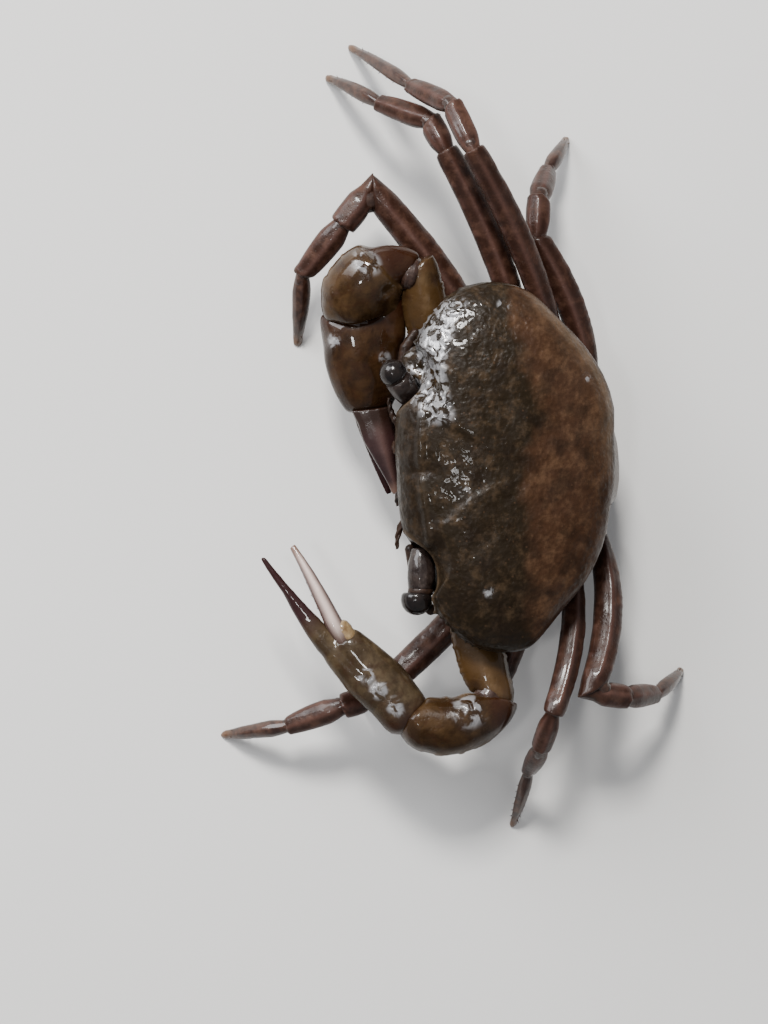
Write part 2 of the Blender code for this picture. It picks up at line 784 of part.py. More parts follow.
def finger_teeth(line, inward, sizes, size, count):
    # blunt teeth along the biting edge, smaller towards the tip
    teeth = []
    near, middle, far = sizes
    for number in range(count):
        t = 0.3 + 0.55 * number / count
        half = near * (1 - t) ** 2 + middle * 2 * t * (1 - t) + far * t * t
        shrink = (1.1 if number % 2 else 0.75) * (1 - 0.5 * number / count)
        centre = curve_point(line, t) + inward * half * 0.92
        teeth.append(finish("tooth", knob(centre, inward, size * shrink, size * shrink * 1.7), "finger"))
    return teeth


def stand_on_floor():
    # moves everything so that the lowest point is at height 0, under the middle of the box
    corners = []
    for item in bpy.data.objects:
        corners += [vertex.co for vertex in item.data.vertices]
    low = Vector([min(corner[axis] for corner in corners) for axis in range(3)])
    high = Vector([max(corner[axis] for corner in corners) for axis in range(3)])
    shift = Vector((-(low.x + high.x) / 2, -(low.y + high.y) / 2, -low.z))
    for item in bpy.data.objects:
        item.data.transform(Matrix.Translation(shift))
    print("moved by", [round(value / MM, 3) for value in shift])


def build():
    clear_scene()
    directions = {}
    for label in WALKING_LEGS:
        side = -1 if label.startswith("right") else 1
        directions[(side, int(label[-1]))] = walking_leg(label)
    for label in CLAWS:
        side = -1 if label == "right" else 1
        directions[(side, 1)] = claw(label)
    carapace()
    chest(directions)
    abdomen()
    mouthparts()
    eyes_and_feelers()
    stand_on_floor()


build()
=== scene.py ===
import math
import random

import bmesh
import bpy
from mathutils import Matrix, Vector, kdtree, noise


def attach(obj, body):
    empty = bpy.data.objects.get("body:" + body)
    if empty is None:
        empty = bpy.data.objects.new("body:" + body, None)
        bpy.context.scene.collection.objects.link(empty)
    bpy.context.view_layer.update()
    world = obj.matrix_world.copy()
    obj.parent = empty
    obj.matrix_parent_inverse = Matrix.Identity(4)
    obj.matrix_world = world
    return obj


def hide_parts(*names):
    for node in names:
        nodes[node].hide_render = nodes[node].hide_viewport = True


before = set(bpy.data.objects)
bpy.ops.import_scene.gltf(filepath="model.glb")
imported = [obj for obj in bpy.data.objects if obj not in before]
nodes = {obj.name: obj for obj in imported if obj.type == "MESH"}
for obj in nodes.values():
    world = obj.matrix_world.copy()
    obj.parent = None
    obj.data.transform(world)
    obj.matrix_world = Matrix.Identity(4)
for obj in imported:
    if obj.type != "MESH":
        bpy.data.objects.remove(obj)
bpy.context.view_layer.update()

mm = 0.001
bodyMiddle = Vector((2.1, 2.262, 0.0))  # the crab's own middle on the floor, mm


def step(low, high, value):
    t = min(max((value - low) / (high - low), 0.0), 1.0)
    return t * t * (3 - 2 * t)


def hump(value, middle, width):
    return math.exp(-(((value - middle) / width) ** 2))


class Signal:
    # a shader output that can stand in a Python sum
    def __init__(self, finish, socket):
        self.finish = finish
        self.socket = socket

    def sum(self, operation, first, second=None):
        inputs = {0: first} if second is None else {0: first, 1: second}
        return self.finish.node("ShaderNodeMath", {"operation": operation}, inputs)

    def __add__(self, other):
        return self.sum("ADD", self, other)

    def __sub__(self, other):
        return self.sum("SUBTRACT", self, other)

    def __rsub__(self, other):
        return self.sum("SUBTRACT", other, self)

    def __mul__(self, other):
        return self.sum("MULTIPLY", self, other)

    def size(self):
        return self.sum("ABSOLUTE", self)

    def least(self, other):
        return self.sum("MINIMUM", self, other)


# pale silver colour of the painted reflection
paintedGlintColour = (0.62, 0.62, 0.64)


class Finish:
    # one procedural material, patterned in millimetres about the crab's middle
    def __init__(self, name, **constants):
        self.material = bpy.data.materials.new(name)
        self.material.use_nodes = True
        self.tree = self.material.node_tree
        self.shader = self.tree.nodes["Principled BSDF"]
        for socket, value in constants.items():
            self.shader.inputs[socket.replace("_", " ")].default_value = value
        coords = self.node("ShaderNodeTexCoord", output="Object")
        self.place = self.node(
            "ShaderNodeMapping",
            inputs={"Vector": coords, "Scale": (1000, 1000, 1000), "Location": tuple(-bodyMiddle)},
        )
        self.normal = None

    def node(self, kind, settings=None, inputs=None, output=0):
        made = self.tree.nodes.new(kind)
        for key, value in (settings or {}).items():
            if key == "stops":
                self.setStops(made.color_ramp, value)
            else:
                setattr(made, key, value)
        for key, value in (inputs or {}).items():
            self.feed(made.inputs[key], value)
        return Signal(self, made.outputs[output])

    def setStops(self, ramp, stops):
        while len(ramp.elements) < len(stops):
            ramp.elements.new(0.5)
        for element, (place, colour) in zip(ramp.elements, stops):
            element.position = place
            element.color = (*colour, 1.0)

    def feed(self, socket, value):
        if isinstance(value, Signal):
            self.tree.links.new(value.socket, socket)
        elif isinstance(value, tuple) and len(value) == 3 and socket.type == "RGBA":
            socket.default_value = (*value, 1.0)
        else:
            socket.default_value = value

    def axis(self, letter):
        return self.node("ShaderNodeSeparateXYZ", inputs={0: self.place}, output=letter)

    def noise(self, size, detail=3.0, rough=0.5, warp=0.0, offset=0.0):
        where = self.place
        if offset:
            where = self.node("ShaderNodeVectorMath", {"operation": "ADD"}, {0: where, 1: (offset,) * 3})
        inputs = {"Vector": where, "Scale": 1 / size, "Detail": detail, "Roughness": rough}
        return self.node("ShaderNodeTexNoise", inputs={**inputs, "Distortion": warp}, output="Fac")

    def cells(self, size, feature="F1", shake=1.0, bend=0.0):
        # distance from the nearest of many scattered points, with their pattern bent by a wave
        where = self.place
        if bend:
            inputs = {"Vector": where, "Scale": 0.6 / size, "Detail": 2.0}
            wave = self.node("ShaderNodeTexNoise", inputs=inputs, output="Color")
            wave = self.node("ShaderNodeVectorMath", {"operation": "SCALE"}, {0: wave, "Scale": bend * size})
            where = self.node("ShaderNodeVectorMath", {"operation": "ADD"}, {0: where, 1: wave})
        inputs = {"Vector": where, "Scale": 1 / size, "Randomness": shake}
        return self.node("ShaderNodeTexVoronoi", {"feature": feature}, inputs, "Distance")

    def attribute(self, name):
        return self.node("ShaderNodeAttribute", {"attribute_name": name}, output="Fac")

    def step(self, value, low, high, start=0.0, end=1.0):
        inputs = {"Value": value, "From Min": low, "From Max": high, "To Min": start, "To Max": end}
        return self.node("ShaderNodeMapRange", {"interpolation_type": "SMOOTHSTEP"}, inputs)

    def blend(self, share, first, second):
        return self.node("ShaderNodeMix", {"data_type": "RGBA"}, {0: share, 6: first, 7: second}, 2)

    def ramp(self, value, stops):
        return self.node("ShaderNodeValToRGB", {"stops": stops}, {0: value})

    def bump(self, height, depth):
        # adds relief of the given depth in mm over what is there already
        inputs = {"Height": height, "Distance": depth * mm, "Strength": 1.0}
        if self.normal:
            inputs["Normal"] = self.normal
        self.normal = self.node("ShaderNodeBump", inputs=inputs)

    def paintedGlint(self, wet, colour, share, fold):
        # painted reflection on the wet places: a pale silver colour, made partly metal, over crumpled folds;
        # fold is in mm
        folds = self.step(self.noise(fold, 3, 0.5, 0.8, offset=41), 0.44, 0.58)
        glint = self.step(wet, 0.25, 0.8) * folds * share
        self.feed(self.shader.inputs["Metallic"], glint)
        return self.blend(glint, colour, paintedGlintColour)

    def done(self, colour=None, roughness=None, coat=None):
        for socket, value in (("Base Color", colour), ("Roughness", roughness), ("Coat Weight", coat)):
            if value is not None:
                self.feed(self.shader.inputs[socket], value)
        if self.normal:
            self.feed(self.shader.inputs["Normal"], self.normal)
        return self.material


def workingCopy(nodeName):
    # a merged copy of a solid, in mm
    bm = bmesh.new()
    bm.from_mesh(nodes[nodeName].data)
    bmesh.ops.remove_doubles(bm, verts=bm.verts, dist=1e-7)
    bmesh.ops.scale(bm, vec=(1000, 1000, 1000), verts=bm.verts)
    return bm


rounding = {
    "sharpAngle": 0.75,  # radians past which an edge keeps its crease
    "joinAngle": 0.6,
    "joinShape": 1.0,
    "levels": 2,
}


def refined(bm, grain, rounds, crease=None):
    # even, dense and softened skin over a closed shape, rounded first where a crease is given
    if crease is not None:
        sharp = bm.edges.layers.float.new("crease_edge")
        for edge in bm.edges:
            if edge.is_manifold and edge.calc_face_angle() > rounding["sharpAngle"]:
                edge[sharp] = crease
        bmesh.ops.join_triangles(
            bm,
            faces=bm.faces,
            angle_face_threshold=rounding["joinAngle"],
            angle_shape_threshold=rounding["joinShape"],
            cmp_sharp=False,
        )
    mesh = bpy.data.meshes.new("draft")
    bm.to_mesh(mesh)
    bm.free()
    draft = bpy.data.objects.new("draft", mesh)
    bpy.context.collection.objects.link(draft)
    if crease is not None:
        rounder = draft.modifiers.new("rounding", "SUBSURF")
        rounder.levels = rounder.render_levels = rounding["levels"]
    grid = draft.modifiers.new("grid", "REMESH")
    grid.mode = "VOXEL"
    grid.voxel_size = grain
    even = bpy.data.meshes.new_from_object(draft.evaluated_get(bpy.context.evaluated_depsgraph_get()))
    bpy.data.objects.remove(draft, do_unlink=True)
    made = bmesh.new()
    made.from_mesh(even)
    bpy.data.meshes.remove(even)
    for _ in range(rounds):
        bmesh.ops.smooth_vert(
            made, verts=made.verts, factor=0.5, use_axis_x=True, use_axis_y=True, use_axis_z=True
        )
    made.normal_update()
    return made


def piece(name, bm, material, stands=(), marks=None):
    # turns a bmesh in mm into a finished object that rides on the crab
    bmesh.ops.scale(bm, vec=(mm, mm, mm), verts=bm.verts)
    mesh = bpy.data.meshes.new(name)
    bm.to_mesh(mesh)
    bm.free()
    mesh.shade_smooth()
    for key, values in (marks or {}).items():
        layer = mesh.attributes.new(key, "FLOAT", "POINT")
        layer.data.foreach_set("value", values)
    made = bpy.data.objects.new(name, mesh)
    made.data.materials.append(material)
    bpy.context.collection.objects.link(made)
    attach(made, "root")
    if stands:
        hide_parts(*stands)


poleRadius = 0.001  # mm, closes the ends of a turned shape


def turned(profile, centre, axis, sides, squash=1.0):
    # a profile of (distance along, radius) pairs spun round an axis
    bm = bmesh.new()
    verts = [bm.verts.new((radius, 0, along)) for along, radius in profile]
    edges = [bm.edges.new(pair) for pair in zip(verts, verts[1:])]
    bmesh.ops.spin(
        bm,
        geom=verts + edges,
        cent=(0, 0, 0),
        axis=(0, 0, 1),
        angle=2 * math.pi,
        steps=sides,
        use_merge=True,
    )
    bmesh.ops.remove_doubles(bm, verts=bm.verts, dist=1e-4)
    bmesh.ops.scale(bm, vec=(1, squash, 1), verts=bm.verts)
    turn = Vector((0, 0, 1)).rotation_difference(axis).to_matrix().to_4x4()
    bmesh.ops.transform(bm, matrix=Matrix.Translation(centre) @ turn, verts=bm.verts)
    bmesh.ops.recalc_face_normals(bm, faces=bm.faces)
    return bm


def joined(shapes):
    # several bmesh shapes in one
    whole = bmesh.new()
    mesh = bpy.data.meshes.new("part")
    for shape in shapes:
        shape.to_mesh(mesh)
        shape.free()
        whole.from_mesh(mesh)
    bpy.data.meshes.remove(mesh)
    return whole


view = {
    "roll": 3.2,  # degrees
    "tilt": 8.0,
    "mmPerPixel": 0.0568,
    "pictureSize": (768, 1024),  # pixels
    "middlePixel": (502.0, 467.0),  # where the crab's middle shows
    "height": 7.5,  # mm, of the point looked at
    "distance": 165.0,
    "sensorHeight": 24,
    "nearest": 0.005,  # m
}


def placeCamera():
    roll, tilt = math.radians(view["roll"]), math.radians(view["tilt"])
    back = Vector((0, -math.sin(tilt), math.cos(tilt)))
    level = Vector((-1, 0, 0)).cross(back)
    right = math.cos(roll) * level + math.sin(roll) * Vector((1, 0, 0))
    up = math.sin(roll) * level - math.cos(roll) * Vector((1, 0, 0))
    grain = view["mmPerPixel"]
    wide, high = view["pictureSize"]
    middleX, middleY = view["middlePixel"]
    target = bodyMiddle + Vector((0, 0, view["height"]))
    target += right * (wide / 2 - middleX) * grain
    target -= up * (high / 2 - middleY) * grain
    camera = bpy.data.cameras.new("camera")
    camera.sensor_fit = "VERTICAL"
    camera.sensor_height = view["sensorHeight"]
    camera.lens = view["sensorHeight"] * view["distance"] / (high * grain)
    camera.clip_start = view["nearest"]
    holder = bpy.data.objects.new("camera", camera)
    turn = Matrix((right, up, back)).transposed().to_4x4()
    holder.matrix_world = Matrix.Translation((target + back * view["distance"]) * mm) @ turn
    bpy.context.collection.objects.link(holder)
    bpy.context.scene.camera = holder


lamps = {
    # place in mm, size in mm, watts, colour
    "key": ((-240, -70, 285), 75, 2.1, (1.0, 0.985, 0.96)),
    "window": ((-205, -235, 165), 190, 1.5, (0.96, 0.97, 1.0)),
    "top": ((15, -112, 312), 28, 0.17, (1.0, 1.0, 1.0)),
}
lampAim = bodyMiddle + Vector((0, 0, 6))
surroundings = {"colour": (0.93, 0.95, 1.0, 1.0), "strength": 0.40}
floorLook = {
    "reach": 600,  # mm from the middle to each side
    "roughness": 0.85,
    "patch": 60,  # mm
    "shades": ((0.3, (0.68, 0.67, 0.65)), (0.7, (0.72, 0.71, 0.69))),
}


def placeLamp(name, place, width, watts, colour):
    lamp = bpy.data.lights.new(name, "AREA")
    lamp.shape = "SQUARE"
    lamp.size = width * mm
    lamp.energy = watts
    lamp.color = colour
    holder = bpy.data.objects.new(name, lamp)
    towards = (lampAim - Vector(place)).normalized()
    turn = towards.to_track_quat("-Z", "Y").to_matrix().to_4x4()
    holder.matrix_world = Matrix.Translation(Vector(place) * mm) @ turn
    bpy.context.collection.objects.link(holder)


def placeFloor():
    bm = bmesh.new()
    bmesh.ops.create_grid(bm, x_segments=1, y_segments=1, size=floorLook["reach"])
    bmesh.ops.scale(bm, vec=(mm, mm, mm), verts=bm.verts)
    mesh = bpy.data.meshes.new("floor")
    bm.to_mesh(mesh)
    bm.free()
    floor = bpy.data.objects.new("floor", mesh)
    pale = Finish("floorPaint", Roughness=floorLook["roughness"])
    grey = pale.ramp(pale.noise(floorLook["patch"], 4), floorLook["shades"])
    floor.data.materials.append(pale.done(grey))
    bpy.context.collection.objects.link(floor)


placeCamera()
for lampName, lampFacts in lamps.items():
    placeLamp(lampName, *lampFacts)
placeFloor()
world = bpy.data.worlds.new("studio")
world.use_nodes = True
world.node_tree.nodes["Background"].inputs["Color"].default_value = surroundings["colour"]
world.node_tree.nodes["Background"].inputs["Strength"].default_value = surroundings["strength"]
bpy.context.scene.world = world
print("camera, light and floor are in place")


shellLook = {
    "frontColour": (0.0125, 0.0080, 0.0040),
    "frontPale": (0.036, 0.0225, 0.0120),
    "rearColour": (0.034, 0.0158, 0.0080),
    "rearPale": (0.070, 0.037, 0.0195),
    "darkColour": (0.008, 0.0045, 0.0025),
    # pale lines, and the painted highlight on the right rear edge
    "rimAndHighlightColour": (0.17, 0.115, 0.07),
    "borderY": 0.9,  # mm, where the dark front ends
    "borderSway": 2.6,
    "bayX": -3.2,  # the dark front reaches further back here
    "bayWidth": 2.6,
    "bayDepth": 1.3,
    "crinkle": 0.6,  # size of each relief in mm, and its depth
    "crinkleDepth": 0.028,
    "granule": 0.24,
    "granuleDepth": 0.02,
    "grit": 0.11,
    "gritDepth": 0.01,
    "glintShare": 0.42,
    "glintFold": 0.45,
}


def shellFinish():
    look = shellLook
    paint = Finish("wetShellWithGlint", Coat_Roughness=0.05, IOR=1.5, Specular_IOR_Level=0.08)
    x, y = paint.axis("X"), paint.axis("Y")
    wander = paint.noise(2.2, 4, 0.6)
    # the dark front gives way to brown behind a wandering line
    bay = paint.step((x - look["bayX"]).size(), look["bayWidth"], 0.4) * look["bayDepth"]
    rear = paint.step(y - look["borderY"] - bay - (wander - 0.5) * look["borderSway"], -0.5, 0.6)
    front = paint.step(paint.noise(0.7, 5, 0.65, offset=7), 0.46, 0.7)
    front = paint.blend(front, look["frontColour"], look["frontPale"])
    back = paint.step(paint.noise(0.9, 5, 0.65, offset=3), 0.42, 0.72)
    back = paint.blend(back, look["rearColour"], look["rearPale"])
    colour = paint.blend(rear, front, back)
    shade = paint.step(paint.noise(1.6, 4, 0.55, offset=11), 0.52, 0.34)
    colour = paint.blend(shade * 0.5, colour, look["darkColour"])
    fleck = paint.cells(0.5, bend=0.6)
    colour = paint.blend(paint.step(fleck, 0.17, 0.05) * 0.4, colour, look["rearPale"])
    # painted shade: darker inside the eye sockets; the front ahead of the crest is darkened too
    colour = paint.blend(paint.attribute("hollow") * 0.85, colour, look["darkColour"])
    # pale lines on the socket lips and the crest, with a painted highlight along the right rear edge
    colour = paint.blend(paint.attribute("rim") * 0.4, colour, look["rimAndHighlightColour"])
    crinkle = paint.noise(look["crinkle"], 6, 0.62, 0.4)
    pits = paint.cells(look["granule"], "SMOOTH_F1", bend=0.5)
    paint.bump(crinkle, look["crinkleDepth"])
    paint.bump(paint.step(pits, 0.15, 0.75), look["granuleDepth"])
    paint.bump(paint.noise(look["grit"], 3, 0.6), look["gritDepth"])
    wet = paint.attribute("wet")
    rough = paint.step(crinkle, 0.35, 0.7, 0.3, 0.52) * (1 - wet * 0.55)
    coat = paint.step(wander, 0.42, 0.64, 0.02, 0.2) + wet
    # painted reflection: pale silver colour over the wet places
    colour = paint.paintedGlint(wet, colour, look["glintShare"], look["glintFold"])
    return paint.done(colour, rough, coat.least(1.0))


clawLook = {
    "base": (0.0150, 0.0075, 0.0030),
    "pale": (0.0360, 0.0195, 0.0080),
    "red": (0.022, 0.006, 0.0025),
    "knob": (0.16, 0.10, 0.05),
    "glow": (0.046, 0.0235, 0.0075),
    "finger": (0.022, 0.008, 0.0078),
    "fingerFade": 0.35,  # share of the palm's length in which it turns to the finger's colour
    "swell": 0.9,  # size of each relief in mm, and its depth
    "swellDepth": 0.045,
    "pit": 0.3,
    "pitDepth": 0.012,
    "grit": 0.09,
    "gritDepth": 0.006,
    "ripple": 0.7,  # on the wet places
    "rippleDepth": 0.22,
    "glintShare": 0.5,
    "glintFold": 0.8,
}


def clawFinish(name, lift, glow=0.0, fingerStart=0.0):
    # lift multiplies the red, green and blue of the two base colours
    look = clawLook
    paint = Finish(name, Coat_Roughness=0.04, IOR=1.5, Specular_IOR_Level=0.08)
    along, ridge = paint.attribute("along"), paint.attribute("ridge")
    mottle = paint.noise(1.3, 5, 0.6, 0.3)
    base = tuple(value * share for value, share in zip(look["base"], lift))
    pale = tuple(value * share for value, share in zip(look["pale"], lift))
    colour = paint.blend(paint.step(mottle, 0.38, 0.68), base, pale)
    colour = paint.blend(paint.step(along, 0.16, 0.02) * 0.7, colour, look["red"])
    net = paint.cells(0.5, bend=0.8)
    colour = paint.blend(paint.step(net, 0.5, 0.85) * 0.3, colour, look["red"])
    colour = paint.blend(ridge * 0.45, colour, look["knob"])
    if fingerStart:  # the fixed finger, darker than the palm
        finger = paint.step(along + (mottle - 0.5) * 0.5, fingerStart, fingerStart + look["fingerFade"])
        colour = paint.blend(finger, colour, look["finger"])
    if glow:  # the thin, yellowish stretch of the upper arm
        patch = paint.step(paint.noise(1.1, 3, 0.55, offset=21) - (along - 0.55).size() * 0.6, 0.2, 0.45)
        colour = paint.blend(patch * glow, colour, look["glow"])
    paint.bump(paint.noise(look["swell"], 4, 0.55), look["swellDepth"])
    paint.bump(paint.step(paint.cells(look["pit"], bend=0.4), 0.0, 0.35), look["pitDepth"])
    paint.bump(paint.noise(look["grit"], 2, 0.6), look["gritDepth"])
    wet = paint.attribute("wet")
    paint.bump(paint.noise(look["ripple"], 3, 0.5, 0.6, offset=31) * wet, look["rippleDepth"])
    rough = paint.step(mottle, 0.3, 0.75, 0.24, 0.44) * (1 - wet * 0.5)
    coat = paint.step(paint.noise(1.9, 2, offset=5), 0.36, 0.64, 0.06, 0.5) + wet
    # painted reflection: pale silver colour over the wet places
    colour = paint.paintedGlint(wet, colour, look["glintShare"], look["glintFold"])
    return paint.done(colour, rough, coat.least(1.0))


legLook = {
    "base": (0.020, 0.0078, 0.0046),
    "pale": (0.060, 0.027, 0.0165),
    "ridge": (0.10, 0.050, 0.040),
    "tip": (0.10, 0.048, 0.022),
    "swell": 0.6,  # size of each relief in mm, and its depth
    "swellDepth": 0.04,
    "pit": 0.2,
    "pitDepth": 0.01,
    "streak": 0.22,
    "streakDepth": 0.02,
}


def legFinish():
    look = legLook
    paint = Finish("wetLeg", Coat_Roughness=0.06, IOR=1.5, Specular_IOR_Level=0.16)
    along, ridge = paint.attribute("along"), paint.attribute("ridge")
    mottle = paint.noise(0.8, 5, 0.62, 0.3)
    colour = paint.blend(paint.step(mottle, 0.4, 0.72), look["base"], look["pale"])
    bands = paint.step(paint.noise(1.7, 2, offset=9) + (along - 0.5).size() * 0.25, 0.48, 0.66)
    colour = paint.blend(bands * 0.45, colour, look["base"])
    colour = paint.blend(ridge * 0.4, colour, look["ridge"])
    paint.bump(paint.noise(look["swell"], 4, 0.6), look["swellDepth"])
    paint.bump(paint.step(paint.cells(look["pit"], bend=0.5), 0.0, 0.4), look["pitDepth"])
    rough = paint.step(mottle, 0.3, 0.7, 0.28, 0.48)
    return paint.done(colour, rough, paint.step(paint.noise(1.4, 2, offset=2), 0.4, 0.64, 0.03, 0.28))


def legTipFinish():
    look = legLook
    paint = Finish("legTip", Coat_Roughness=0.07, IOR=1.5, Specular_IOR_Level=0.25)
    along = paint.attribute("along")
    mottle = paint.noise(0.5, 4, 0.6)
    colour = paint.blend(paint.step(mottle, 0.35, 0.7), look["base"], look["pale"])
    colour = paint.blend(paint.step(along, 0.72, 0.97), colour, look["tip"])
    paint.bump(paint.noise(look["streak"], 3, 0.6, 0.8), look["streakDepth"])
    return paint.done(colour, paint.step(mottle, 0.3, 0.7, 0.3, 0.45), 0.5)


fingerLook = {
    "dark": (0.021, 0.0080, 0.0078),
    "stripe": (0.13, 0.075, 0.066),
    # the pale finger's top stripe is partly its own colour and partly painted highlight; its darker sides are
    # painted shade
    "bladeTopAndHighlight": (0.56, 0.44, 0.39),
    "bladeSidePaintedShade": (0.055, 0.026, 0.022),
    "edge": (0.045, 0.018, 0.017),
    "tip": (0.20, 0.12, 0.09),
}


def fingerFinish(name, light):
    look = fingerLook
    paint = Finish(name, Coat_Roughness=0.04, IOR=1.5, Specular_IOR_Level=0.3)
    along, ridge = paint.attribute("along"), paint.attribute("ridge")
    mottle = paint.noise(0.7, 4, 0.6)
    first, second = (look["bladeSidePaintedShade"], look["edge"]) if light else (look["dark"], look["edge"])
    colour = paint.blend(paint.step(mottle, 0.5, 0.75) * 0.6, first, second)
    # pale finger: painted shade on the sides, and a pale top stripe that is partly painted highlight
    colour = paint.blend(ridge * (0.95 if light else 0.5), colour, look["bladeTopAndHighlight" if light else "stripe"])
    colour = paint.blend(paint.step(along, 0.8, 1.0) * 0.7, colour, look["tip"])
    colour = paint.blend(paint.step(along, 0.22, 0.0) * 0.6, colour, clawLook["pale" if light else "base"])
    paint.bump(paint.noise(0.35, 4, 0.6, 0.5), 0.02)
    return paint.done(colour, paint.step(mottle, 0.3, 0.7, 0.24, 0.4), 0.8 if light else 0.4)


skinLook = {
    "dark": ((0.014, 0.006, 0.004), (0.040, 0.019, 0.012)),
    "pale": ((0.12, 0.07, 0.03), (0.26, 0.18, 0.09)),
}


def skinFinish(name, tones):
    # folded soft skin between the parts of a limb
    paint = Finish(name, Coat_Roughness=0.15, IOR=1.4, Specular_IOR_Level=0.3)
    mottle = paint.noise(0.35, 4, 0.6)
    colour = paint.ramp(mottle, ((0.3, tones[0]), (0.7, tones[1])))
    paint.bump(paint.noise(0.16, 3, 0.6), 0.03)
    return paint.done(colour, paint.step(mottle, 0.3, 0.7, 0.35, 0.5), 0.5)


undersideLook = {
    "breast": {"shade": (0.070, 0.042, 0.024), "middle": (0.12, 0.078, 0.046), "pale": (0.19, 0.135, 0.085)},
    "tail": {"shade": (0.034, 0.019, 0.011), "middle": (0.062, 0.037, 0.022), "pale": (0.115, 0.076, 0.048)},
    "mouth": {"shade": (0.030, 0.016, 0.009), "middle": (0.060, 0.036, 0.021), "pale": (0.11, 0.072, 0.044)},
}


def undersideFinish(part):
    look = undersideLook[part]
    paint = Finish(f"{part}Shell", Coat_Roughness=0.12, IOR=1.45, Specular_IOR_Level=0.3)
    mottle = paint.noise(1.1, 5, 0.6)
    colour = paint.ramp(mottle, ((0.3, look["shade"]), (0.55, look["middle"]), (0.8, look["pale"])))
    fleck = paint.cells(0.45, bend=0.6)
    colour = paint.blend(paint.step(fleck, 0.2, 0.08) * 0.4, colour, look["shade"])
    paint.bump(paint.noise(0.8, 4, 0.55), 0.05)
    paint.bump(paint.step(paint.cells(0.26, bend=0.4), 0.1, 0.6), 0.015)
    return paint.done(colour, paint.step(mottle, 0.3, 0.7, 0.28, 0.42), 0.6)


stalkColours = ((0.38, (0.010, 0.006, 0.005)), (0.62, (0.024, 0.016, 0.013)), (0.85, (0.08, 0.06, 0.05)))
feelerColours = ((0.35, (0.010, 0.005, 0.003)), (0.7, (0.030, 0.015, 0.009)))
eyeColours = ((0.3, (0.004, 0.003, 0.003)), (0.8, (0.016, 0.011, 0.009)))


def stalkFinish():
    paint = Finish("eyeStalk", Coat_Roughness=0.05, IOR=1.5, Specular_IOR_Level=0.15)
    mottle = paint.noise(0.45, 4, 0.6)
    colour = paint.ramp(mottle, stalkColours)
    paint.bump(paint.noise(0.3, 3, 0.6), 0.03)
    return paint.done(colour, paint.step(mottle, 0.3, 0.7, 0.25, 0.4), 0.45)


def feelerFinish():
    paint = Finish("feeler", Coat_Roughness=0.1, IOR=1.45, Specular_IOR_Level=0.15)
    rings = paint.noise(0.3, 4, 0.6)
    colour = paint.ramp(rings, feelerColours)
    paint.bump(rings, 0.02)
    return paint.done(colour, paint.step(rings, 0.3, 0.7, 0.4, 0.55), 0.1)


def corneaFinish():
    paint = Finish("eyeBlack", Coat_Roughness=0.03, IOR=1.5, Specular_IOR_Level=0.15)
    facets = paint.cells(0.06, shake=0.25)
    colour = paint.ramp(paint.noise(0.5, 3), eyeColours)
    paint.bump(paint.step(facets, 0.1, 0.6), 0.0025)
    return paint.done(colour, paint.step(facets, 0.1, 0.6, 0.12, 0.22), 0.35)


finishes = {
    "shell": shellFinish(),
    "claw": clawFinish("wetClawWithGlint", (1.3, 1.25, 1.15)),
    "clawArm": clawFinish("wetClawArmWithGlint", (1.25, 1.2, 1.2), glow=0.8),
    "palmRight": clawFinish("wetPalmRightWithGlint", (1.0, 0.86, 0.78), fingerStart=1.02),
    "palmLeft": clawFinish("wetPalmLeftWithGlint", (1.9, 2.4, 3.1), fingerStart=1.05),
    "leg": legFinish(),
    "legTip": legTipFinish(),
    "fingerDark": fingerFinish("fingerDark", light=False),
    "fingerPale": fingerFinish("fingerPale", light=True),
    "skin": skinFinish("jointSkin", skinLook["dark"]),
    "paleSkin": skinFinish("paleJointSkin", skinLook["pale"]),
    "underside": undersideFinish("breast"),
    "mouth": undersideFinish("mouth"),
    "tail": undersideFinish("tail"),
    "stalk": stalkFinish(),
    "feeler": feelerFinish(),
    "eye": corneaFinish(),
}
print("finishes are made")


def centreOf(node):
    places = [vertex.co for vertex in nodes[node].data.vertices]
    return sum(places, Vector()) / len(places) * 1000


def farthest(node, place):
    return max((vertex.co * 1000 for vertex in nodes[node].data.vertices), key=lambda co: (co - place).length)


touchMargin = 0.22  # mm past the smallest gap within which two solids count as meeting


def meetingPlace(nearNode, farNode):
    # middle and spread of the faces where two solids meet
    near = [vertex.co * 1000 for vertex in nodes[nearNode].data.vertices]
    far = [vertex.co * 1000 for vertex in nodes[farNode].data.vertices]
    tree = kdtree.KDTree(len(near))
    for number, place in enumerate(near):
        tree.insert(place, number)
    tree.balance()
    reaches = [tree.find(place)[2] for place in far]
    closest = min(reaches)
    touching = [place for place, reach in zip(far, reaches) if reach < closest + touchMargin]
    middle = sum(touching, Vector()) / len(touching)
    spread = sum((place - middle).length for place in touching) / len(touching)
    return middle, spread


def padded(stations, between=6):
    # overlapping balls along a line of (x, y, z, radius), which the skin takes in
    bands, sides = 8, 14
    arc = [math.pi * band / bands for band in range(bands + 1)]
    balls = []
    for first, second in zip(stations, stations[1:]):
        for number in range(between + 1):
            share = number / between
            *place, radius = (a + (b - a) * share for a, b in zip(first, second))
            profile = [(-math.cos(turn) * radius, max(math.sin(turn) * radius, poleRadius)) for turn in arc]
            balls.append(turned(profile, bodyMiddle + Vector(place), Vector((0, 0, 1)), sides))
    return joined(balls)


def middleLine(bm, near, far):
    # the bent line through the middle of a long part
    slices = 14
    axis = (far - near).normalized()
    length = (far - near).length
    sums = [[Vector(), 0] for _ in range(slices)]
    for vert in bm.verts:
        t = (vert.co - near).dot(axis) / length
        if -0.1 < t < 1.02:
            cell = sums[min(max(int(t * slices), 0), slices - 1)]
            cell[0] += vert.co
            cell[1] += 1
    line = []
    for number, (total, count) in enumerate(sums):
        line.append(total / count if count else near.lerp(far, (number + 0.5) / slices))
    return axis, length, line


